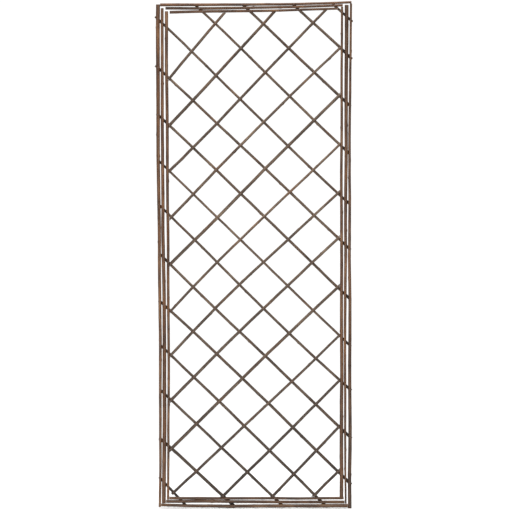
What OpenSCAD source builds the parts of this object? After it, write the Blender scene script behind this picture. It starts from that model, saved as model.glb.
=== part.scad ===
// Framed willow trellis panel.
// A flat garden panel of round, barked willow rods. Two layers lie face to face:
// the falling lattice rods at the back, and at the front the rising lattice rods
// with a frame of three nested rectangles. Wire nails hold every crossing.
// The panel stands upright, its front facing -Y, centred over the origin.

/* [Panel] */
// Width between the outer sides of the two outermost side rods
panel_w = 462; // [440:2:500]
// Height from the lowest foot to the top of the highest rail
panel_h = 1200; // [1160:5:1260]
// Where the front and the back layer touch, on the Y axis
contact_y = 1; // [0:0.5:2]

/* [Lattice] */
// Half cells that fit across the panel's width
half_cells_across = 8.03; // [7.9:0.01:8.1]
// Half cells that fit up the panel's height
half_cells_up = 21.47; // [21.3:0.01:21.6]
// Height of the first row of crossings below the top of the panel
first_row_drop = 54; // [50:1:58]
// Distance of the first column of crossings from the middle of the panel
first_column = 148; // [145:1:151]
// Gap between a rising rod's end and the frame rod that it meets
end_gap = 0.4; // [0.3:0.1:1]
// Thickness added to every lattice rod
extra_thickness = 0; // [-0.5:0.1:1]

/* [Nails] */
// Diameter of a nail's shank
nail_d = 1.2; // [1:0.1:1.4]
// Diameter of a nail's flat head
nail_head_d = 3; // [2.4:0.1:3.4]
// Thickness of a nail's head
nail_head_t = 0.6; // [0.4:0.1:0.8]
// Length of the point bent over behind the back rod
clinch_length = 4; // [3:0.5:5]

/* [Rods] */
// Sides of a rod's cross-section
rod_sides = 12; // [8:4:16]
// Longest distance between two rings of a rod
ring_spacing = 60; // [50:5:80]

/* [Hidden] */
bark = "#6f6256";
bark_dark = "#5d5148";
bark_red = "#74503c";
steel = "#8d8781";

left_edge = -panel_w / 2;
right_edge = panel_w / 2;
half_cell_w = panel_w / half_cells_across;
half_cell_h = panel_h / half_cells_up;

// The lattice lines are set out on two uprights, this far from the middle
setting_out_x = panel_w / 2 - 26;
// Back rods stop this far below the top and above the foot of the panel
top_end_drop = 7;
bottom_end_rise = 4.5;
// A rod cut square in a corner stays this many thicknesses off
corner_clearance = 0.8;
// Bevel round a nail's head, and how thin its bent point is beaten
head_bevel = 0.2;
point_thickness = 0.8;
nail_facets = 24;
// A nail's hole is cut this long, right through both layers
hole_length = 60;
// A nail keeps this distance from the end of the front rod
nail_edge = 3;
// A crossing this far past a rod's end still counts, because the nail moves in
end_slack = 2.5;

// Side rods, outer first: inset of the top and of the foot from the panel's edge,
// drop of the top, height of the foot, bow, sway, thickness at the top and the foot
left_stile = [
    [3, 7.5, 9, 3, 1, -1.5, 9.5, 5.7],
    [13.3, 17, 17.5, 12, 0.8, -1.7, 6.8, 9.7],
    [22.7, 26.7, 25, 20, 2.3, -0.8, 7.9, 5.6]
];
right_stile = [
    [2.5, 5.5, 6.2, 0, -2, -0.9, 5.4, 9],
    [13, 15.5, 10, 11, -1.5, 0.6, 9.5, 4.7],
    [23.6, 25.5, 14, 27, -0.6, -0.5, 5.2, 8.8]
];

// Rails, outer first: inset of the left and of the right end from the panel's edges,
// height of the left and the right end, bow, sway, thickness at the left and the right.
// The top rail's heights are drops from the top of the panel.
top_rail = [
    [8, 1.5, 10, 2.75, -2.5, 1, 7.2, 5.5],
    [20.5, 22, 18, 10.4, -2.4, 0, 6.6, 5.8],
    [30.5, 33, 27.4, 18, -1.1, 0.4, 7.1, 5.5]
];
bottom_rail = [
    [10.5, 10.4, 7.4, 6.2, -1.6, -0.6, 6.8, 8.2],
    [22.2, 18.2, 16.2, 14.4, 0.1, 0, 7.2, 7.3],
    [30, 20, 24.5, 23.5, -0.9, -0.5, 6.8, 6.2]
];

// Falling rods from the top right corner down: how far the left and the right end
// sit above their even place in the lattice, bow, sway, thickness at each end, and how
// far each end runs past the outer side rod. The first and the last brace a corner.
falling = [
    [-47, -19, 0, 0, 6, 5.5, 0, 1.5],
    [-10.6, 4.2, 0.6, -0.6, 6.4, 7.1, 0, 1.2],
    [-10.9, 1.5, -0.2, 0.5, 6.4, 7.1, 0, -1],
    [-3.6, -1.1, -0, 1.2, 5.9, 6.8, 0, -2],
    [-10.4, -8.3, -1.8, 1.1, 6, 6.4, 1.8, -1.5],
    [-14.1, -3.3, 1.1, -0, 6.3, 6.7, 1.8, -1],
    [-13.3, -8.8, 0.9, 0.4, 6.4, 6.8, -1, -2],
    [-9.4, -7.5, -0, 0.2, 5.4, 5.8, -1.5, -1],
    [-1.1, 1.4, -4.3, 1.4, 5.9, 6.5, -1, -0.5],
    [-3.7, -1.1, -0.9, -1, 6.1, 6.8, -2, -1],
    [-3.5, 2.1, 3.3, 0.7, 6.4, 6.9, -1, -1],
    [5.4, 4.3, 1.6, -0.3, 6.1, 6.8, -1.5, 0],
    [11.2, 22.2, 0.6, 0.5, 6.2, 6.6, -1, 0],
    [8.4, 34.2, 0, 0.8, 7.2, 7.5, -1, 0],
    [24, -11, 0, 0, 6, 6.2, -0.5, 0]
];

// Rising rods from the top left corner down: the same, without the last two
rising = [
    [-22.6, 65.9, 1.1, 0.2, 6.6, 6.4],
    [-22, 24, -1, 0.3, 7.3, 6.6],
    [-17.8, 5.9, -0.9, -1.2, 7, 6.3],
    [-19.5, -6.7, 4.3, -0.1, 6.7, 5.8],
    [-17, -6.1, 0.9, -0.8, 7.6, 7.1],
    [-16.6, -10.1, 4.4, 1.7, 6.3, 5.7],
    [-8.8, -10.8, 6.3, 1.5, 6.7, 6],
    [-4.4, -6, 4.1, 0.3, 7.1, 6.4],
    [-7.9, -9.3, 2.7, -0.4, 7.8, 6.9],
    [-4.4, -15.4, -0.9, 0.1, 6.8, 6],
    [-18.1, -9.1, -1, 0.4, 6.9, 6.3],
    [-35.6, -5.9, -0.3, 0.2, 6.8, 6.4],
    [-18.9, 3.1, 0.7, 0, 7, 6.6]
];

function two_digits(i) = i < 10 ? str("0", i) : str(i);
function rod_names(kind, count) = [for (i = [1:count]) str(kind, "_", two_digits(i))];

PLACES = ["outer", "middle", "inner"];
function frame_names(side) = [for (place = PLACES) str(side, "_", place)];

// ---- Rods ----
// A rod is [start, end, bow, sway, start thickness, end thickness, layer, start cut, end cut].
// start and end are [x, z]. The layer is -1 at the front and 1 at the back.
// A cut is square across the rod, or upright or level where the rod meets the frame.
SQUARE = 0;
UPRIGHT = 1;
LEVEL = 2;
FRONT = -1;
BACK = 1;

function span(rod) = norm(rod[1] - rod[0]);
function along(rod) = (rod[1] - rod[0]) / span(rod);
function across(rod) = let (u = along(rod)) [-u[1], u[0]];
// How far the natural bend carries the rod sideways, t = 0 at its start and 1 at its end
function bend(rod, t) = rod[2] * sin(180 * t) + rod[3] * sin(360 * t);
function centre(rod, t) = rod[0] + (rod[1] - rod[0]) * t + across(rod) * bend(rod, t);
function radius(rod, t) = (rod[4] + (rod[5] - rod[4]) * t) / 2;
// Both layers touch the same plane, so a rod's centre lies its own radius off it
function depth(rod, t) = contact_y + rod[6] * radius(rod, t);
function cut_slope(rod, cut) = let (u = along(rod))
    cut == UPRIGHT ? u[1] / u[0] : cut == LEVEL ? -u[0] / u[1] : 0;

function ring(rod, t, slope) = [
    for (i = [0:rod_sides - 1])
        let (
            angle = 360 * i / rod_sides,
            side = radius(rod, t) * cos(angle),
            p = centre(rod, t) + across(rod) * side + along(rod) * side * slope
        )
        [p[0], depth(rod, t) + radius(rod, t) * sin(angle), p[1]]
];

module sweep(rod) {
    last = max(1, ceil(span(rod) / ring_spacing));
    points = [
        for (k = [0:last])
            each ring(rod, k / last, k == 0 ? cut_slope(rod, rod[7]) : k == last ? cut_slope(rod, rod[8]) : 0)
    ];
    sides = [
        for (k = [0:last - 1], i = [0:rod_sides - 1])
            let (a = k * rod_sides + i, b = k * rod_sides + (i + 1) % rod_sides)
            each [[a, b, a + rod_sides], [b, b + rod_sides, a + rod_sides]]
    ];
    start_face = [for (i = [rod_sides - 1:-1:0]) i];
    end_face = [for (i = [0:rod_sides - 1]) last * rod_sides + i];
    polyhedron(points, concat([start_face], sides, [end_face]));
}

// ---- Frame rods ----
function side_rod(s, edge, inward) = [
    [edge + inward * s[0], panel_h - s[2]], [edge + inward * s[1], s[3]],
    s[4], s[5], s[6], s[7], FRONT, LEVEL, LEVEL
];
function top_rod(s) = [
    [left_edge + s[0], panel_h - s[2]], [right_edge - s[1], panel_h - s[3]],
    s[4], s[5], s[6], s[7], FRONT, UPRIGHT, UPRIGHT
];
function bottom_rod(s) = [
    [left_edge + s[0], s[2]], [right_edge - s[1], s[3]],
    s[4], s[5], s[6], s[7], FRONT, UPRIGHT, UPRIGHT
];
left_rods = [for (s = left_stile) side_rod(s, left_edge, 1)];
right_rods = [for (s = right_stile) side_rod(s, right_edge, -1)];
top_rods = [for (s = top_rail) top_rod(s)];
bottom_rods = [for (s = bottom_rail) bottom_rod(s)];

// ---- Lattice rods ----
// A lattice line is its height on the left and on the right setting-out upright
function column(x) = (x + first_column) / half_cell_w;
function falling_line(i) = let (
    row_end = panel_h - first_row_drop + half_cell_h * (7 - 2 * i)
) [
    row_end - half_cell_h * column(-setting_out_x) + falling[i][0],
    row_end - half_cell_h * column(setting_out_x) + falling[i][1]
];
function rising_line(i) = let (
    row_end = panel_h - first_row_drop - half_cell_h * (1 + 2 * i)
) [
    row_end + half_cell_h * column(-setting_out_x) + rising[i][0],
    row_end + half_cell_h * column(setting_out_x) + rising[i][1]
];
function height_at(line, x) = line[0] + (line[1] - line[0]) * (x + setting_out_x) / (2 * setting_out_x);
function place_at(line, z) = (z - line[0]) * 2 * setting_out_x / (line[1] - line[0]) - setting_out_x;

// A place just off a frame rod: the x beside a side rod at height z, or the height
// above or below a rail at x. way is 1 or -1, and clear is the distance off the rod.
function fraction(rod, axis, value) = (value - rod[0][axis]) / (rod[1][axis] - rod[0][axis]);
function beside(rod, z, way, clear) = let (t = fraction(rod, 1, z))
    centre(rod, t)[0] + way * (radius(rod, t) + clear);
function over(rod, x, way, clear) = let (t = fraction(rod, 0, x))
    centre(rod, t)[1] + way * (radius(rod, t) + clear);

// Falling rods run behind the whole frame
function falling_rod(i) = let (
    line = falling_line(i),
    s = falling[i],
    left_x = beside(left_rods[0], height_at(line, left_edge), -1, s[6]),
    right_x = beside(right_rods[0], height_at(line, right_edge), 1, s[7]),
    x1 = max(left_x, place_at(line, panel_h - top_end_drop)),
    x2 = min(right_x, place_at(line, bottom_end_rise))
) [
    [x1, height_at(line, x1)], [x2, height_at(line, x2)],
    s[2], s[3], s[4] + extra_thickness, s[5] + extra_thickness, BACK, SQUARE, SQUARE
];

// Rising rods fill the frame. Each end is cut to lie against the inner rod that it meets,
// and an end that runs into a corner of the frame is cut square, short of both rods there.
function rising_rod(i) = let (
    line = rising_line(i),
    s = rising[i],
    left_x = beside(left_rods[2], height_at(line, -setting_out_x), 1, end_gap),
    right_x = beside(right_rods[2], height_at(line, setting_out_x), -1, end_gap),
    foot_x = place_at(line, over(bottom_rods[2], place_at(line, bottom_rods[2][0][1]), 1, end_gap)),
    head_x = place_at(line, over(top_rods[2], place_at(line, top_rods[2][0][1]), -1, end_gap)),
    corner = abs(foot_x - left_x) < s[4],
    x1 = max(left_x, foot_x) + (corner ? corner_clearance * s[4] : 0),
    x2 = min(right_x, head_x)
) [
    [x1, height_at(line, x1)], [x2, height_at(line, x2)],
    s[2], s[3], s[4] + extra_thickness, s[5] + extra_thickness, FRONT,
    corner ? SQUARE : foot_x > left_x ? LEVEL : UPRIGHT, head_x < right_x ? LEVEL : UPRIGHT
];

falling_rods = [for (i = [0:len(falling) - 1]) falling_rod(i)];
rising_rods = [for (i = [0:len(rising) - 1]) rising_rod(i)];

// ---- Nails ----
function cross2(a, b) = a[0] * b[1] - a[1] * b[0];
// Where along rod a its bent line crosses rod b's, found by moving both straight
// chords sideways by their bend at the last guess
function crossing(a, b, ta = 0.5, tb = 0.5, rounds = 4) = rounds == 0 ? [ta, tb] : let (
    pa = a[0] + across(a) * bend(a, ta),
    pb = b[0] + across(b) * bend(b, tb),
    da = a[1] - a[0],
    db = b[1] - b[0],
    next_a = cross2(pb - pa, db) / cross2(da, db),
    next_b = cross2(pb - pa, da) / cross2(da, db)
) crossing(a, b, min(1, max(0, next_a)), min(1, max(0, next_b)), rounds - 1);

// A nail is [x, z, y of the front rod's face, y of the back rod's face, direction of the back rod]
function nail_at(front, back) = let (
    t = crossing(front, back),
    margin = nail_edge / span(front),
    tf = min(1 - margin, max(margin, t[0])),
    p = centre(front, tf)
) [p[0], p[1], contact_y - 2 * radius(front, tf), contact_y + 2 * radius(back, t[1]), along(back)];
function meets(front, back) = let (
    t = crossing(front, back),
    apart = norm(centre(front, t[0]) - centre(back, t[1]))
) apart < end_slack && t[1] > 0 && t[1] < 1;
function nails(fronts, backs) = [for (f = fronts, b = backs) if (meets(f, b)) nail_at(f, b)];

module nail(n) {
    shank = n[3] - n[2] + nail_d;
    translate([n[0], n[2], n[1]]) {
        rotate([-90, 0, 0]) rotate_extrude($fn = nail_facets) polygon([
            [0, -nail_head_t], [nail_head_d / 2 - head_bevel, -nail_head_t],
            [nail_head_d / 2, head_bevel - nail_head_t],
            [nail_head_d / 2, 0], [nail_d / 2, 0], [nail_d / 2, shank], [0, shank]
        ]);
        // the point, flattened along the back rod
        translate([0, shank - nail_d / 2, 0])
            rotate([0, 90 - atan2(n[4][1], n[4][0]), 0])
                cylinder(h = clinch_length, d = point_thickness * nail_d, $fn = nail_facets);
    }
}

module nail_holes(fronts, backs) {
    for (n = nails(fronts, backs))
        translate([n[0], contact_y, n[1]])
            rotate([90, 0, 0]) cylinder(h = hole_length, d = nail_d, center = true, $fn = nail_facets);
}

// ---- Sub-parts ----
front_rods = concat(left_rods, right_rods, top_rods, bottom_rods, rising_rods);

module front_rod(rod, tone) color(tone) difference() {
    sweep(rod);
    nail_holes([rod], falling_rods);
}

module back_rod(rod, tone) color(tone) difference() {
    sweep(rod);
    nail_holes(front_rods, [rod]);
}

module nail_set(fronts) color(steel) for (n = nails(fronts, falling_rods)) nail(n);

for (i = [0:2]) {
    front_rod(left_rods[i], bark_red);
    front_rod(right_rods[i], bark_red);
    front_rod(top_rods[i], bark_red);
    front_rod(bottom_rods[i], bark_dark);
}
for (i = [1:len(falling)])
    back_rod(falling_rods[i - 1], bark);
for (i = [1:len(rising)])
    front_rod(rising_rods[i - 1], bark);

nail_set(rising_rods);  // lattice_nails
nail_set(left_rods);  // left_stile_nails
nail_set(right_rods);  // right_stile_nails
nail_set(top_rods);  // top_rail_nails
nail_set(bottom_rods);  // bottom_rail_nails
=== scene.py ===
# %% [markdown]
# # A willow lattice panel for climbing plants
# The real object is a flat garden panel. Twelve long willow rods lie side by side in threes and make
# the frame. Twenty-eight thinner rods cross inside it as a lattice of diamonds, and small wire nails
# go through the crossings. Nothing on it moves, so every piece rides on the one body.
#
# The CAD model holds each rod's place, bend and thickness as a plain twelve-sided stick with flat
# ends. This lesson reads those sticks, grows bark and buds on them, and lights the panel as a small
# studio would.

# %% Load the frame
import math

import bpy
import numpy as np
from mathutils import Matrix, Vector


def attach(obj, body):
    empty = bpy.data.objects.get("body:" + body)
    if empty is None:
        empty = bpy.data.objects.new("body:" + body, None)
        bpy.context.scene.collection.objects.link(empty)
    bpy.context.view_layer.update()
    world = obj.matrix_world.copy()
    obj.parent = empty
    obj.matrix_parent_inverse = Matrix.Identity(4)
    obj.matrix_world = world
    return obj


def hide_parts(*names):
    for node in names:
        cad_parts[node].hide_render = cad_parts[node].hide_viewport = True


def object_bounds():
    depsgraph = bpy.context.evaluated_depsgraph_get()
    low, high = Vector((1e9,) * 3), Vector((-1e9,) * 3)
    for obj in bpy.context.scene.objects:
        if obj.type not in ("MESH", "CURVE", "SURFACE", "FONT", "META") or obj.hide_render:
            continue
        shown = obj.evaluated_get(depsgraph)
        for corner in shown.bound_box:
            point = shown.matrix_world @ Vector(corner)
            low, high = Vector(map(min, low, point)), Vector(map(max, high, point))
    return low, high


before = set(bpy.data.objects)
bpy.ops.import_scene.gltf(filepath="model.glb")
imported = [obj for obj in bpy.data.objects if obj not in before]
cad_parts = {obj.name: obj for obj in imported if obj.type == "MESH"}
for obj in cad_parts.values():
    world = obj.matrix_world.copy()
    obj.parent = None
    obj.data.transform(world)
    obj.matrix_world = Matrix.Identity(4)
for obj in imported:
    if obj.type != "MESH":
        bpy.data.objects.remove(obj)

cad_low, cad_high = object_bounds()
MM = 0.001
print("the CAD box in millimetres:", (cad_high - cad_low) / MM)

# %% [markdown]
# ## The camera
# A panel in a catalogue is taken straight from the front with a long lens, so that its diamonds stay
# even from corner to corner. The distance is about five times the panel's height. The lens follows
# from similar triangles: sensor width over lens is the same as picture height over distance. The
# panel fills the height of the picture and stands a little to the left of its middle.

# %% The camera
CAMERA_DISTANCE = 6.0
PICTURE_MARGIN = 1.00558
PICTURE_HEIGHT = PICTURE_MARGIN * (cad_high.z - cad_low.z)
AIM_OFFSET = Vector((2.6 * MM, 0.0, -1.2 * MM))

camera_data = bpy.data.cameras.new("panel_camera")
camera_data.sensor_width = 36.0
camera_data.lens = camera_data.sensor_width * CAMERA_DISTANCE / PICTURE_HEIGHT
camera = bpy.data.objects.new("panel_camera", camera_data)
bpy.context.scene.collection.objects.link(camera)
middle = (cad_low + cad_high) / 2
camera.location = (middle.x + AIM_OFFSET.x, -CAMERA_DISTANCE, middle.z + AIM_OFFSET.z)
camera.rotation_euler = (math.pi / 2, 0.0, 0.0)
bpy.context.scene.camera = camera
print(f"lens {camera_data.lens:.1f} mm at {CAMERA_DISTANCE} m")

# %% [markdown]
# ## Reading a rod from its CAD mesh
# Each CAD rod is a stick that lies in the plane of the panel. Its chord is the line that most of its
# corners follow, which is the main direction of their spread. Cutting the mesh across that chord at
# even steps gives the rod's edges on both sides: halfway between them is its middle line, and half
# the distance is its radius. That is safer than typing the numbers again, because the visible rod
# then always lies in the space that the CAD rod holds.

# %% Points and edges of a CAD node
DEEP = np.array([0.0, 1.0, 0.0])


def node_mesh(node):
    """The corners of a CAD node and the pairs of corners that its edges join, as two arrays."""
    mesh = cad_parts[node].data
    points = np.empty(len(mesh.vertices) * 3)
    mesh.vertices.foreach_get("co", points)
    edges = np.empty(len(mesh.edges) * 2, dtype=np.int64)
    mesh.edges.foreach_get("vertices", edges)
    return points.reshape(-1, 3), edges.reshape(-1, 2)


rod_nodes = sorted(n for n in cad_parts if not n.endswith("nails"))
nail_nodes = sorted(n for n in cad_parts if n.endswith("nails"))
print(len(rod_nodes), "rods and", len(nail_nodes), "sets of nails")

# %% The middle line, radius and cut ends of one rod
SLICES = 25


def carried_on(at, places, values):
    """Straight lines between the known places, carried on straight past the first and the last."""
    i = np.clip(np.searchsorted(places, at) - 1, 0, len(places) - 2)
    share = (at - places[i]) / (places[i + 1] - places[i])
    return values[i] + share * (values[i + 1] - values[i])


def read_rod(node):
    """Slices a CAD rod across its chord and returns its directions, middle line, radius and ends."""
    points, edges = node_mesh(node)
    flat = points[:, [0, 2]] - points[:, [0, 2]].mean(0)
    chord = np.linalg.svd(flat, full_matrices=False)[2][0]
    if (chord[1] < 0) if abs(chord[1]) > 0.3 else (chord[0] < 0):
        chord = -chord
    along = np.array([chord[0], 0.0, chord[1]])
    across = np.array([-chord[1], 0.0, chord[0]])
    s, u, y = points @ along, points @ across, points[:, 1]
    margin = 1.2 * np.ptp(y)
    places = np.linspace(s.min() + margin, s.max() - margin, SLICES)
    a, b = edges[np.abs(s[edges[:, 0]] - s[edges[:, 1]]) > 1e-7].T
    share = (places[:, None] - s[a]) / (s[b] - s[a])
    missed = (share < 0) | (share > 1)
    cut_u = np.ma.array(u[a] + share * (u[b] - u[a]), mask=missed)
    cut_y = np.ma.array(y[a] + share * (y[b] - y[a]), mask=missed)
    side = np.asarray((cut_u.max(1) + cut_u.min(1)) / 2)
    depth = np.asarray((cut_y.max(1) + cut_y.min(1)) / 2)
    radius = np.asarray((cut_u.max(1) - cut_u.min(1)) / 2)
    rod = dict(node=node, along=along, across=across, places=places, side=side, depth=depth, radius=radius)
    offset = (u - carried_on(s, places, side)) / carried_on(s, places, radius)
    for end, pick in (("start", np.min), ("stop", np.max)):
        left, right = pick(s[offset < -0.97]), pick(s[offset > 0.97])
        rod[end] = (left + right) / 2
        rod[end + "_slope"] = (right - left) / (2 * carried_on(rod[end], places, radius))
    return rod


rods = [read_rod(node) for node in rod_nodes]
for rod in rods[::13]:
    print(f"{rod['node']}: {(rod['stop'] - rod['start']) / MM:.0f} mm long, "
          f"{2 * rod['radius'].max() / MM:.1f} mm thick, ends cut at {rod['start_slope']:.2f} "
          f"and {rod['stop_slope']:.2f}")

# %% [markdown]
# ## Where the buds sit
# A willow shoot carries its buds in a spiral, two turns round for every five buds, so each one sits
# 144 degrees on from the last. They lie flat against the shoot and point to its thin end. Under each
# bud the shoot swells a little and keeps the scar of the leaf. Many buds are rubbed off when the rods
# are bundled, and only their scars are left. The buds are drawn at random, with a fixed seed per rod.

# %% Bud positions
BUD_TURN = math.radians(144)
BUD_STEPS = (0.7, 1.4)
TURN_SPREAD = 0.15
KEPT_BUDS = 0.55
BUD_HEIGHTS = (0.55 * MM, 0.95 * MM)
SCAR_HEIGHTS = (0.12 * MM, 0.25 * MM)
BARE_TIP = 5 * MM


def bud_places(rod, rng, gap):
    """Distances along the rod, angles round it and heights of its buds.
    The distances add up random steps near the gap, and the angles add 144 degrees each time."""
    length = rod["stop"] - rod["start"]
    steps = rng.uniform(*BUD_STEPS, int(2 * length / gap) + 2) * gap
    at = rod["start"] + np.cumsum(steps) - 0.5 * gap
    at = at[at < rod["stop"] - BARE_TIP]
    angle = rng.uniform(0, 2 * math.pi) + BUD_TURN * np.arange(len(at))
    angle = angle + rng.normal(0, TURN_SPREAD, len(at))
    kept = rng.uniform(0, 1, len(at)) < KEPT_BUDS
    height = np.where(kept, rng.uniform(*BUD_HEIGHTS, len(at)), rng.uniform(*SCAR_HEIGHTS, len(at)))
    return at, angle, height


sample = bud_places(rods[0], np.random.default_rng(1), 34 * MM)
print(f"{rods[0]['node']} would carry {len(sample[0])} buds, "
      f"{np.diff(sample[0]).mean() / MM:.0f} mm apart")

# %% [markdown]
# ## The shape of a rod
# The surface is a function of the distance s along the rod and the angle a round it. Its radius is
# the CAD radius, plus a slightly oval section, plus shallow furrows where the bark dried and shrank,
# plus a swelling, a leaf scar and a bud at each bud place. The middle line wanders by a fraction of a
# millimetre between buds, as a grown stick does. The end rings lean over to lie in the plane of the
# cut, and that lean fades out over the last centimetre.
#
# A fine grid with about two millimetres between rings is enough for a bud to be a few faces long.

# %% Relief of the bark
RING_STEP = 2.0 * MM
SIDES = 24
FURROWS = (3, 5, 7, 9)


def relief(rod, s, a, buds, rng):
    """Height of the surface over the CAD radius at each distance s (rows) and angle a (columns).
    Ovality is a cosine of twice the angle, and each furrow a cosine of its own number of waves
    whose phase drifts along the rod. A bud is a bell curve across and a lopsided one along."""
    radius = carried_on(s, rod["places"], rod["radius"])
    tipward = 1.0 if rod["radius"][0] > rod["radius"][-1] else -1.0
    height = 0.02 * radius * np.cos(2 * a + rng.uniform(0, 6))
    for waves in FURROWS:
        drift = 1.4 * np.sin(s / rng.uniform(60 * MM, 140 * MM) + rng.uniform(0, 6))
        height = height + 0.009 * radius * np.cos(waves * a + drift + rng.uniform(0, 6))
    at, angle, tall = buds
    ahead = tipward * (s[:, :, None] - at)
    turn = (a[:, :, None] - angle + math.pi) % (2 * math.pi) - math.pi
    aside = turn * radius[:, :, None]
    spread = np.where(ahead < 1.3 * MM, 1.5 * MM, 2.8 * MM)
    bud = np.exp(-((ahead - 1.3 * MM) / spread) ** 2 - (aside / (1.25 * MM)) ** 2)
    scar = np.exp(-((ahead + 2.0 * MM) / (0.9 * MM)) ** 2 - (aside / (1.7 * MM)) ** 2)
    ring = np.exp(-(ahead / (4.5 * MM)) ** 2)
    height = height + (tall * bud + 0.28 * MM * scar).sum(2) + 0.035 * radius * ring.sum(2)
    shown = np.clip(tall / (0.6 * MM), 0.35, 1)
    marks = np.stack([(shown * bud).sum(2), scar.sum(2), ring.sum(2)], axis=2)
    return radius + height, np.clip(marks, 0, 1)


print("one ring every", RING_STEP / MM, "mm with", SIDES, "sides")

# %% [markdown]
# ## How light and how warm each rod is
# No two willow rods dry to the same brown. The frame is made of thicker shoots with more red and
# orange in the bark, and the lattice of thinner ones that dried to an even grey-brown. The lattice is
# darker towards the ground, and its side towards the frame carries painted shade where it runs behind.
# A frame rod's tones are listed for its foot, its middle and its head, or from left to right on a
# rail, and a lattice rod has one. Nought is the plain bark, and one is much lighter or much warmer.

# %% Tones of the rods
FRAME_LIGHT = {
    "left_stile_outer": (0.2, 0.3, 0.0), "left_stile_middle": (-0.3, 0.1, 0.3),
    "left_stile_inner": (0.3, -0.1, 0.2), "right_stile_outer": (-0.4, 0.0, 0.2),
    "right_stile_middle": (-0.1, 0.1, -0.3), "right_stile_inner": (-0.2, 0.0, 0.2),
    "top_rail_outer": (0.0, -0.3, 0.1), "top_rail_middle": (-0.6, -0.2, 0.2),
    "top_rail_inner": (-0.3, -0.2, 0.1), "bottom_rail_outer": (-0.1, -0.2, -0.1),
    "bottom_rail_middle": (-0.5, -0.5, -0.4), "bottom_rail_inner": (-0.2, -0.4, -0.3),
}
FRAME_WARM = {
    "left_stile_outer": (-0.2, 0.2, 0.3), "left_stile_middle": (0.4, 0.6, 0.2),
    "left_stile_inner": (0.0, 0.3, 0.1), "right_stile_outer": (-0.5, 0.0, -0.2),
    "right_stile_middle": (-0.2, 0.5, -0.2), "right_stile_inner": (-0.1, 0.2, -0.3),
    "top_rail_outer": (1.0, 0.0, 0.0), "top_rail_middle": (0.0, 0.1, 0.2),
    "top_rail_inner": (-0.1, 0.3, -0.2), "bottom_rail_outer": (-0.4, -0.4, -0.4),
    "bottom_rail_middle": (-0.1, 0.0, -0.2), "bottom_rail_inner": (-0.3, -0.4, -0.4),
}
LATTICE_LIGHT = {
    "falling_rod": (0, -0.1, -0.2, 0, 0, 0.1, 0.1, 0.3, 0.1, 0.1, 0, 0.1, 0, -0.2, -0.2),
    "rising_rod": (0, -0.2, -0.1, 0.1, 0, 0.4, 0.1, 0, 0, 0.1, -0.3, -0.2, -0.2),
}
STATIONS = np.array([0.0, 0.5, 1.0])
# The lattice bark darkens towards the ground: these shares at these heights in metres.
LOW_DARKENING_HEIGHTS = np.array([0.0, 0.1, 0.3, 0.5, 0.65])
LOW_DARKENING_SHARES = np.array([0.58, 0.5, 0.27, 0.14, 0.0])
# Painted shade on the lattice bark where it runs behind the frame rods: its strength, the width over which
# it fades in, and how far past the outer rods it reaches.
PAINTED_SHADE_SHARE = 0.95
PAINTED_SHADE_FADE = 4 * MM
OUTER_REACH = 1 * MM
FRAME_SIDES = ("left_stile", "right_stile", "bottom_rail", "top_rail")


def ring_of(place):
    """The mean left, right, bottom and top of the frame's outer, middle or inner rectangle."""
    left, right, bottom, top = (node_mesh(f"{side}_{place}")[0].mean(0) for side in FRAME_SIDES)
    return left[0], right[0], bottom[2], top[2]


opening, outline = ring_of("inner"), ring_of("outer")


def outside(rectangle, x, z):
    """How far a point lies outside a rectangle, as the most that it passes any of the four sides."""
    left, right, bottom, top = rectangle
    return np.maximum.reduce([left - x, x - right, bottom - z, z - top])


def painted_shade_behind_frame(rod, points):
    """How much painted shade a point of a rod takes where it runs behind the frame.
    It is nought inside the opening, grows to one a fade width beyond it, and goes again past the
    outer rods. Only the side towards the frame is shaded: the painted shade falls off with the depth
    behind the rod's middle line."""
    x, y, z = points.transpose(2, 0, 1)
    covered = np.clip(outside(opening, x, z) / PAINTED_SHADE_FADE, 0, 1)
    covered = covered * np.clip(1 - (outside(outline, x, z) - OUTER_REACH) / PAINTED_SHADE_FADE, 0, 1)
    behind = (y - rod["depth"].mean()) / rod["radius"].mean()
    return covered * np.clip(1 - 2 * behind, 0, 1)


def tones(rod, s, points):
    """Lightness, warmth and darkening at every point of a rod's grid.
    On a frame rod the first two are blended along it, and a lattice rod has one lightness. Its
    darkening is the share towards the ground or the painted shade behind the frame, whichever is more."""
    node = rod["node"]
    share = (s - rod["start"]) / (rod["stop"] - rod["start"])
    if node in FRAME_LIGHT:
        light = np.interp(share, STATIONS, FRAME_LIGHT[node])
        warm = np.interp(share, STATIONS, FRAME_WARM[node])
        darkening_and_painted_shade = np.zeros_like(share)
    else:
        kind, number = node.rsplit("_", 1)
        light = np.full_like(share, LATTICE_LIGHT[kind][int(number) - 1])
        warm = np.zeros_like(share)
        # darker towards the ground
        darkening_and_painted_shade = np.interp(points[:, :, 2], LOW_DARKENING_HEIGHTS, LOW_DARKENING_SHARES)
        # painted shade on the side towards the frame where the rod runs behind it, kept where it is darker
        darkening_and_painted_shade = np.maximum(darkening_and_painted_shade, PAINTED_SHADE_SHARE * painted_shade_behind_frame(rod, points))
    return np.stack([light, warm, darkening_and_painted_shade], axis=2)


print(len(FRAME_LIGHT), "frame rods with tones of their own")

# %% [markdown]
# ## From the grid to a closed mesh
# Rows of the grid become rings of the rod. Each end is closed by three smaller rings in the plane of
# the cut and one point in the middle, sunk a little where the soft pith dried back. A column of faces
# always runs along the rod first and round it second, which makes them all face outwards. The mesh
# carries the straightened place of every point as an attribute, so that the bark's pattern follows
# the rod wherever it leans, and the marks and tones beside it.

# %% Building one rod
CUT_RINGS = (0.93, 0.55, 0.14)
PITH_DEPTH = 0.5 * MM
LEAN_FADE = 12 * MM
WANDER = 0.18 * MM
SWAY = 0.25 * MM
SWAY_LENGTH = 45 * MM
FIRST_SEED = 400


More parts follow.
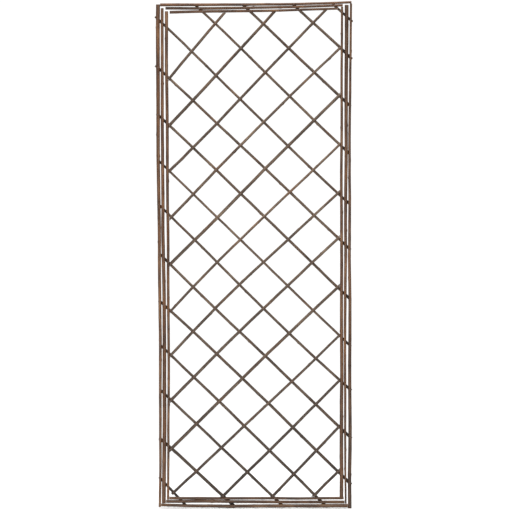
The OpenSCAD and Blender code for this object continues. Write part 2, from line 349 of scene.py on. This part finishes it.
def rod_faces(rows):
    """Quads between neighbouring rings, and a fan of triangles round the point at each end."""
    i, j = np.meshgrid(np.arange(rows - 1), np.arange(SIDES), indexing="ij")
    k = (j + 1) % SIDES
    quads = np.stack([i * SIDES + j, (i + 1) * SIDES + j, (i + 1) * SIDES + k, i * SIDES + k], axis=-1)
    j = np.arange(SIDES)
    k = (j + 1) % SIDES
    last = (rows - 1) * SIDES
    first_fan = np.stack([np.full(SIDES, rows * SIDES), j, k], axis=-1)
    last_fan = np.stack([np.full(SIDES, rows * SIDES + 1), last + k, last + j], axis=-1)
    return quads.reshape(-1, 4), np.concatenate([first_fan, last_fan])


def rod_grid(rod, index, gap):
    """Places, straightened places, marks and tones of a rod, one row per ring and one column per side.
    A point is the middle line at s, plus the radius times the cosine of the angle sideways and times
    its sine in depth. Near an end, s also grows with the sideways distance, times the cut's slope."""
    rng = np.random.default_rng(FIRST_SEED + index)
    length = rod["stop"] - rod["start"]
    body = np.linspace(rod["start"], rod["stop"], max(8, round(length / RING_STEP)))
    caps = len(CUT_RINGS)
    s = np.concatenate([np.full(caps, body[0]), body, np.full(caps, body[-1])])
    shrink = np.concatenate([CUT_RINGS[::-1], np.ones(len(body)), CUT_RINGS])
    s, shrink = s[:, None], shrink[:, None]
    a = 2 * math.pi * np.arange(SIDES)[None, :] / SIDES
    s = s + 0 * a
    buds = bud_places(rod, rng, gap)
    radius, marks = relief(rod, s, a, buds, rng)
    radius = radius * shrink
    wander = np.interp(s, buds[0], rng.normal(0, WANDER, len(buds[0]))) if len(buds[0]) else 0 * s
    sway = SWAY * np.sin(s / SWAY_LENGTH + rng.uniform(0, 6))
    side = radius * np.cos(a)
    fade = min(LEAN_FADE, 0.45 * length)
    lean = rod["start_slope"] * np.clip(1 - (s - body[0]) / fade, 0, 1)
    lean = lean + rod["stop_slope"] * np.clip(1 - (body[-1] - s) / fade, 0, 1)
    sunk = PITH_DEPTH * (1 - shrink) ** 2
    sunk = np.where(s < (body[0] + body[-1]) / 2, sunk, -sunk)
    centre = carried_on(s, rod["places"], rod["side"]) + wander + sway
    depth = carried_on(s, rod["places"], rod["depth"])
    points = ((s + side * lean + sunk)[:, :, None] * rod["along"]
              + (centre + side)[:, :, None] * rod["across"]
              + (depth + radius * np.sin(a))[:, :, None] * DEEP)
    straight = np.stack([side, radius * np.sin(a), s + 1.7 * index], axis=2)
    return points, straight, marks, tones(rod, s, points), shrink


def with_ends(grid):
    """The grid's points as one list, with the average of the first and of the last ring added."""
    return np.concatenate([grid.reshape(-1, grid.shape[2]), grid[:1].mean(1), grid[-1:].mean(1)])


def build_rod(rod, index, gap):
    """Makes the mesh object of one rod, kept inside the CAD box."""
    points, straight, marks, tone, shrink = rod_grid(rod, index, gap)
    quads, fans = rod_faces(len(points))
    places = np.clip(with_ends(points), np.array(cad_low), np.array(cad_high))
    mesh = bpy.data.meshes.new(rod["node"] + "_willow")
    corners = np.concatenate([quads.ravel(), fans.ravel()])
    starts = np.concatenate([4 * np.arange(len(quads)), quads.size + 3 * np.arange(len(fans))])
    mesh.vertices.add(len(places))
    mesh.loops.add(len(corners))
    mesh.polygons.add(len(starts))
    mesh.vertices.foreach_set("co", places.ravel())
    mesh.loops.foreach_set("vertex_index", corners.astype(np.int32))
    mesh.polygons.foreach_set("loop_start", starts.astype(np.int32))
    caps = len(CUT_RINGS)
    rows = np.repeat(np.arange(len(points) - 1), SIDES)
    on_cut = np.concatenate([(rows < caps) | (rows >= len(points) - 1 - caps), np.ones(len(fans), bool)])
    mesh.polygons.foreach_set("material_index", on_cut.astype(np.int32))
    mesh.update(calc_edges=True)
    for name, grid in (("bark", straight), ("marks", marks), ("tone", tone)):
        attribute = mesh.attributes.new(name, "FLOAT_VECTOR", "POINT")
        attribute.data.foreach_set("vector", with_ends(grid).astype(np.float32).ravel())
    mesh.polygons.foreach_set("use_smooth", np.ones(len(starts), bool))
    mesh.set_sharp_from_angle(angle=math.radians(50))
    mesh.validate()
    piece = bpy.data.objects.new(mesh.name, mesh)
    bpy.context.scene.collection.objects.link(piece)
    return piece


def volume(mesh):
    """The space that a closed mesh holds: a sixth of the sum of its triangles' box products.
    It comes out below nought if the faces look inwards."""
    mesh.calc_loop_triangles()
    points = np.empty(len(mesh.vertices) * 3)
    mesh.vertices.foreach_get("co", points)
    points = points.reshape(-1, 3)
    corners = np.empty(len(mesh.loop_triangles) * 3, np.int32)
    mesh.loop_triangles.foreach_get("vertices", corners)
    a, b, c = points[corners.reshape(-1, 3)].transpose(1, 0, 2)
    return np.einsum("ij,ij->i", a, np.cross(b, c)).sum() / 6


FRAME_BUD_GAP = 46 * MM
LATTICE_BUD_GAP = 30 * MM
pieces = {}
for index, rod in enumerate(rods):
    gap = FRAME_BUD_GAP if rod["node"] in FRAME_LIGHT else LATTICE_BUD_GAP
    pieces[rod["node"]] = build_rod(rod, index, gap)
faces = sum(len(p.data.polygons) for p in pieces.values())
held = sum(volume(p.data) for p in pieces.values())
print(f"{len(pieces)} rods, {faces} faces, {held * 1e6:.0f} cubic centimetres of willow")

# %% [markdown]
# ## Materials
# Colours are written as the hex numbers of a colour picker, and one function turns them to the
# linear values that shaders use. One small helper adds a node, sets it, and fills or links its
# inputs. Everything else is a list of nodes from the pattern to the shader.

# %% Colour and node helpers
def linear(colour, alpha=1.0):
    """An sRGB hex colour as linear red, green, blue and alpha."""
    values = np.array([int(colour[i:i + 2], 16) for i in (1, 3, 5)]) / 255
    values = np.where(values <= 0.04045, values / 12.92, ((values + 0.055) / 1.055) ** 2.4)
    return (*values.tolist(), alpha)


def add(tree, kind, settings=None, inputs=None, ramp=None):
    """Adds a node. Settings are its properties, inputs are values or sockets to link, and a ramp is
    a list of places and colours."""
    node = tree.nodes.new(kind)
    for name, value in (settings or {}).items():
        setattr(node, name, value)
    for name, value in (inputs or {}).items():
        if isinstance(value, bpy.types.NodeSocket):
            tree.links.new(value, node.inputs[name])
        else:
            node.inputs[name].default_value = value
    if ramp:
        elements = node.color_ramp.elements
        while len(elements) < len(ramp):
            elements.new(0.5)
        for element, (place, colour) in zip(elements, ramp):
            element.position = place
            element.color = linear(colour)
    return node


print("mid brown in linear light:", [round(v, 3) for v in linear("#6a5544")])

# %% [markdown]
# ### Willow bark, dried with its skin on
# Brown willow is cut, bundled and dried unpeeled. The skin shrinks into fine furrows along the rod,
# and its colour runs in long streaks and patches, from dark brown in the furrows to grey on the
# ridges. Pale corky pores are scattered over it, and buds and their scars are dark and a little
# shiny. The pattern is made in the straightened place of each point, so a streak is long along the
# rod and narrow round it. Real streaks are about half a millimetre wide: they are drawn at about one
# and a half, because finer ones vanish at this distance.

# %% Willow bark
PATCH = (14 * MM, 14 * MM, 60 * MM)
STREAK = (1.6 * MM, 1.6 * MM, 42 * MM)
GRAIN = (0.6 * MM, 0.6 * MM, 3 * MM)
PORE = (1.9 * MM, 1.9 * MM, 4.5 * MM)
BARK_IOR = 1.45


def per_metre(size):
    """How often a pattern of that size repeats in one metre, for each axis."""
    return tuple(1 / part for part in size)


def willow_bark(name, tones_of_bark, warm_tones, warm_share):
    """Unpeeled willow bark: a ramp of browns driven by patches, streaks and grain."""
    material = bpy.data.materials.new(name)
    material.use_nodes = True
    tree = material.node_tree
    tree.nodes.clear()
    place = add(tree, "ShaderNodeAttribute", {"attribute_name": "bark"}).outputs["Vector"]
    marks = add(tree, "ShaderNodeAttribute", {"attribute_name": "marks"}).outputs["Vector"]
    tone = add(tree, "ShaderNodeAttribute", {"attribute_name": "tone"}).outputs["Vector"]
    marks = add(tree, "ShaderNodeSeparateXYZ", inputs={0: marks}).outputs
    tone = add(tree, "ShaderNodeSeparateXYZ", inputs={0: tone}).outputs

    noises = {}
    for key, size, detail in (("patch", PATCH, 3), ("streak", STREAK, 4), ("grain", GRAIN, 2)):
        scaled = add(tree, "ShaderNodeMapping", inputs={"Vector": place, "Scale": per_metre(size)})
        noises[key] = add(tree, "ShaderNodeTexNoise", inputs={
            "Vector": scaled.outputs[0], "Scale": 1.0, "Detail": detail, "Roughness": 0.6}).outputs["Fac"]
    shifted = add(tree, "ShaderNodeMapping", inputs={
        "Vector": place, "Location": (3.0, 7.0, 11.0), "Scale": per_metre(PATCH)})
    hue = add(tree, "ShaderNodeTexNoise", inputs={
        "Vector": shifted.outputs[0], "Scale": 1.0, "Detail": 2.0}).outputs["Fac"]
    pores = add(tree, "ShaderNodeMapping", inputs={"Vector": place, "Scale": per_metre(PORE)})
    pores = add(tree, "ShaderNodeTexVoronoi", inputs={"Vector": pores.outputs[0], "Scale": 1.0})
    pore = add(tree, "ShaderNodeMapRange", inputs={
        "Value": pores.outputs["Distance"], "From Min": 0.12, "From Max": 0.3, "To Min": 1.0, "To Max": 0.0})

    brown = add(tree, "ShaderNodeMath", {"operation": "MULTIPLY_ADD"}, {
        0: noises["streak"], 1: 0.9, 2: -0.165})
    brown = add(tree, "ShaderNodeMath", {"operation": "MULTIPLY_ADD"}, {
        0: noises["patch"], 1: 0.6, 2: brown.outputs[0]})
    brown = add(tree, "ShaderNodeMath", {"operation": "MULTIPLY_ADD"}, {
        0: noises["grain"], 1: 0.18, 2: brown.outputs[0]})
    plain = add(tree, "ShaderNodeValToRGB", inputs={0: brown.outputs[0]}, ramp=tones_of_bark)
    warm = add(tree, "ShaderNodeValToRGB", inputs={0: brown.outputs[0]}, ramp=warm_tones)
    share = add(tree, "ShaderNodeMath", {"operation": "MULTIPLY_ADD"}, {0: hue, 1: 2.2, 2: warm_share - 1.1})
    share = add(tree, "ShaderNodeMath", {"operation": "MULTIPLY_ADD", "use_clamp": True}, {
        0: tone["Y"], 1: 0.8, 2: share.outputs[0]})
    colour = add(tree, "ShaderNodeMix", {"data_type": "RGBA"}, {
        0: share.outputs[0], 6: plain.outputs[0], 7: warm.outputs[0]})
    dots = add(tree, "ShaderNodeMath", {"operation": "MULTIPLY"}, {0: pore.outputs[0], 1: 0.35})
    colour = add(tree, "ShaderNodeMix", {"data_type": "RGBA"}, {
        0: dots.outputs[0], 6: colour.outputs[2], 7: linear("#8c7c66")})
    bud = add(tree, "ShaderNodeMath", {"operation": "MULTIPLY", "use_clamp": True}, {0: marks["X"], 1: 0.85})
    colour = add(tree, "ShaderNodeMix", {"data_type": "RGBA"}, {
        0: bud.outputs[0], 6: colour.outputs[2], 7: linear("#4a2c1b")})
    scar = add(tree, "ShaderNodeMath", {"operation": "MULTIPLY", "use_clamp": True}, {0: marks["Y"], 1: 0.6})
    colour = add(tree, "ShaderNodeMix", {"data_type": "RGBA"}, {
        0: scar.outputs[0], 6: colour.outputs[2], 7: linear("#2f211a")})
    value = add(tree, "ShaderNodeMath", {"operation": "MULTIPLY_ADD"}, {0: tone["X"], 1: 0.7, 2: 1.0})
    colour = add(tree, "ShaderNodeHueSaturation", inputs={
        "Value": value.outputs[0], "Color": colour.outputs[2]})
    # The tone's third part darkens the bark: darker towards the ground on the lattice, and painted shade
    # where it runs behind the frame.
    colour = add(tree, "ShaderNodeMix", {"data_type": "RGBA", "blend_type": "MULTIPLY"}, {
        0: tone["Z"], 6: colour.outputs[0], 7: linear("#241a14")})

    height = add(tree, "ShaderNodeMath", {"operation": "MULTIPLY_ADD"}, {
        0: noises["grain"], 1: 0.35, 2: noises["streak"]})
    height = add(tree, "ShaderNodeMath", {"operation": "MULTIPLY_ADD"}, {
        0: pore.outputs[0], 1: 0.25, 2: height.outputs[0]})
    bump = add(tree, "ShaderNodeBump", inputs={
        "Strength": 0.6, "Distance": 0.4 * MM, "Height": height.outputs[0]})
    rough = add(tree, "ShaderNodeMapRange", inputs={
        "Value": noises["streak"], "From Min": 0.3, "From Max": 0.7, "To Min": 0.55, "To Max": 0.75})
    shader = add(tree, "ShaderNodeBsdfPrincipled", inputs={
        "Base Color": colour.outputs[2], "Roughness": rough.outputs[0], "IOR": BARK_IOR,
        "Normal": bump.outputs[0]})
    add(tree, "ShaderNodeOutputMaterial", inputs={"Surface": shader.outputs[0]})
    return material


WARM_BARK = [(0.45, "#2a180d"), (0.62, "#51331f"), (0.76, "#724a2c"), (0.95, "#946f49")]
frame_bark = willow_bark(
    "willow_bark_dried_frame",
    [(0.45, "#27180e"), (0.62, "#4b3423"), (0.76, "#654832"), (0.95, "#8b7053")], WARM_BARK, 0.4)
lattice_bark = willow_bark(
    "willow_bark_dried_lattice",
    [(0.45, "#2a1e16"), (0.62, "#4c3c2f"), (0.76, "#675444"), (0.95, "#8d7a64")], WARM_BARK, 0.0)
print("bark materials with", len(frame_bark.node_tree.nodes), "nodes each")

# %% [markdown]
# ### Cut willow wood
# The ends are sawn or clipped. Fresh willow is nearly white, but it greys within weeks out of doors,
# and the soft pith in the middle turns brown. The colour follows the distance from the middle of the
# rod, which the straightened place gives, with fine rings and a little grime from a noise.

# %% Cut willow wood
def cut_wood(name):
    """Weathered end grain: a ramp over the distance from the middle, darkened by a noise."""
    material = bpy.data.materials.new(name)
    material.use_nodes = True
    tree = material.node_tree
    tree.nodes.clear()
    place = add(tree, "ShaderNodeAttribute", {"attribute_name": "bark"}).outputs["Vector"]
    flat = add(tree, "ShaderNodeVectorMath", {"operation": "MULTIPLY"}, {0: place, 1: (1.0, 1.0, 0.0)})
    far = add(tree, "ShaderNodeVectorMath", {"operation": "LENGTH"}, {0: flat.outputs[0]})
    from_middle = add(tree, "ShaderNodeMath", {"operation": "DIVIDE"}, {0: far.outputs["Value"], 1: 5 * MM})
    wood = add(tree, "ShaderNodeValToRGB", inputs={0: from_middle.outputs[0]}, ramp=[
        (0.0, "#4f3a28"), (0.12, "#6f5639"), (0.18, "#a58c69"), (0.45, "#93795a"),
        (0.55, "#a98f6d"), (0.8, "#8d7558")])
    grime = add(tree, "ShaderNodeTexNoise", inputs={
        "Vector": place, "Scale": 1 / (1.5 * MM), "Detail": 3.0}).outputs["Fac"]
    share = add(tree, "ShaderNodeMapRange", inputs={
        "Value": grime, "From Min": 0.35, "From Max": 0.7, "To Min": 0.1, "To Max": 0.8})
    colour = add(tree, "ShaderNodeMix", {"data_type": "RGBA", "blend_type": "MULTIPLY"}, {
        0: share.outputs[0], 6: wood.outputs[0], 7: linear("#9a8878")})
    bump = add(tree, "ShaderNodeBump", inputs={"Strength": 0.6, "Distance": 0.2 * MM, "Height": grime})
    shader = add(tree, "ShaderNodeBsdfPrincipled", inputs={
        "Base Color": colour.outputs[2], "Roughness": 0.85, "IOR": BARK_IOR, "Normal": bump.outputs[0]})
    add(tree, "ShaderNodeOutputMaterial", inputs={"Surface": shader.outputs[0]})
    return material


end_grain = cut_wood("cut_willow_wood_weathered")
print("end grain ready")

# %% [markdown]
# ### Steel wire nails, dulled out of doors
# The nails are plain mild steel. After a season their heads are dull grey-brown with spots of rust,
# so the metal is rough, and the rust, which is no metal, covers it in patches of a millimetre or so.

# %% Steel nails
def dull_steel(name):
    """Mild steel with rust: a noise mixes two colours and lowers the metallic share."""
    material = bpy.data.materials.new(name)
    material.use_nodes = True
    tree = material.node_tree
    tree.nodes.clear()
    place = add(tree, "ShaderNodeTexCoord").outputs["Object"]
    noise = add(tree, "ShaderNodeTexNoise", inputs={
        "Vector": place, "Scale": 1 / (1.2 * MM), "Detail": 3.0}).outputs["Fac"]
    rust = add(tree, "ShaderNodeMapRange", inputs={
        "Value": noise, "From Min": 0.38, "From Max": 0.55, "To Min": 0.15, "To Max": 0.95})
    colour = add(tree, "ShaderNodeMix", {"data_type": "RGBA"}, {
        0: rust.outputs[0], 6: linear("#6f675f"), 7: linear("#563420")})
    metal = add(tree, "ShaderNodeMapRange", inputs={
        "Value": rust.outputs[0], "To Min": 1.0, "To Max": 0.1})
    bump = add(tree, "ShaderNodeBump", inputs={"Strength": 0.5, "Distance": 0.1 * MM, "Height": noise})
    shader = add(tree, "ShaderNodeBsdfPrincipled", inputs={
        "Base Color": colour.outputs[2], "Metallic": metal.outputs[0], "Roughness": 0.6,
        "Normal": bump.outputs[0]})
    add(tree, "ShaderNodeOutputMaterial", inputs={"Surface": shader.outputs[0]})
    return material


nail_steel = dull_steel("mild_steel_nail_rusted")
print("nail steel ready")

# %% [markdown]
# ## Putting the pieces on the frame
# Every rod rides on the one body, takes the place of its CAD stick, which goes out of sight, and gets
# its bark and cut-wood materials. The nails are right as the CAD made them, turned heads on straight
# shanks, so they keep their own meshes and only change their material.

# %% Rods and nails
for node, piece in pieces.items():
    in_frame = node in FRAME_LIGHT
    piece.data.materials.append(frame_bark if in_frame else lattice_bark)
    piece.data.materials.append(end_grain)
    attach(piece, "root")
    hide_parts(node)
for node in nail_nodes:
    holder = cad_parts[node]
    holder.data.materials.clear()
    holder.data.materials.append(nail_steel)
print(len(pieces), "rods ride on the root body,", len(nail_nodes), "nail sets keep their CAD meshes")

# %% [markdown]
# ## Floor, light and background
# The panel stands on a pale floor in an even white studio. The background is white where the camera
# looks at it, but lights the panel only softly, as white walls some way off would. A large softbox
# hangs overhead and keeps the floor bright, and another stands beside the camera, so that a rod is
# lightest down its middle and darker at both edges.

# %% Floor
FLOOR_RADIUS = 1.4
spokes = 2 * math.pi * np.arange(96) / 96
rim = np.stack([FLOOR_RADIUS * np.cos(spokes), FLOOR_RADIUS * np.sin(spokes), 0 * spokes], axis=1)
floor_mesh = bpy.data.meshes.new("studio_floor")
floor_mesh.from_pydata(rim.tolist(), [], [list(range(len(rim)))])
floor = bpy.data.objects.new("studio_floor", floor_mesh)
bpy.context.scene.collection.objects.link(floor)
matt_paper = bpy.data.materials.new("matt_white_paper")
matt_paper.use_nodes = True
paper = matt_paper.node_tree.nodes["Principled BSDF"]
paper.inputs["Base Color"].default_value = linear("#f6f6f6")
paper.inputs["Roughness"].default_value = 1.0
paper.inputs["Specular IOR Level"].default_value = 0.0
floor_mesh.materials.append(matt_paper)
print("floor", 2 * FLOOR_RADIUS, "m across")

# %% Lights
def softbox(name, place, aim, size, watts):
    """A square area light at a place, turned to face its aim."""
    data = bpy.data.lights.new(name, "AREA")
    data.size = size
    data.energy = watts
    light = bpy.data.objects.new(name, data)
    light.location = place
    light.rotation_euler = (Vector(aim) - Vector(place)).to_track_quat("-Z", "Y").to_euler()
    bpy.context.scene.collection.objects.link(light)
    return light


softbox("overhead_softbox", (0.0, 0.0, 3.4), (0.0, 0.0, 0.0), 3.0, 170.0)
softbox("front_softbox", (-0.7, -4.8, 1.4), (0.0, 0.0, 0.6), 1.4, 150.0)
world = bpy.data.worlds.new("white_studio")
bpy.context.scene.world = world
world.use_nodes = True
world.node_tree.nodes.clear()
ray = add(world.node_tree, "ShaderNodeLightPath").outputs["Is Camera Ray"]
seen = add(world.node_tree, "ShaderNodeBackground", inputs={"Color": (1, 1, 1, 1), "Strength": 1.05})
cast = add(world.node_tree, "ShaderNodeBackground", inputs={"Color": (1, 1, 1, 1), "Strength": 0.15})
mixed = add(world.node_tree, "ShaderNodeMixShader", inputs={
    0: ray, 1: cast.outputs[0], 2: seen.outputs[0]})
add(world.node_tree, "ShaderNodeOutputWorld", inputs={"Surface": mixed.outputs[0]})
bpy.context.scene.view_settings.view_transform = "Standard"
print("two softboxes and a white world")
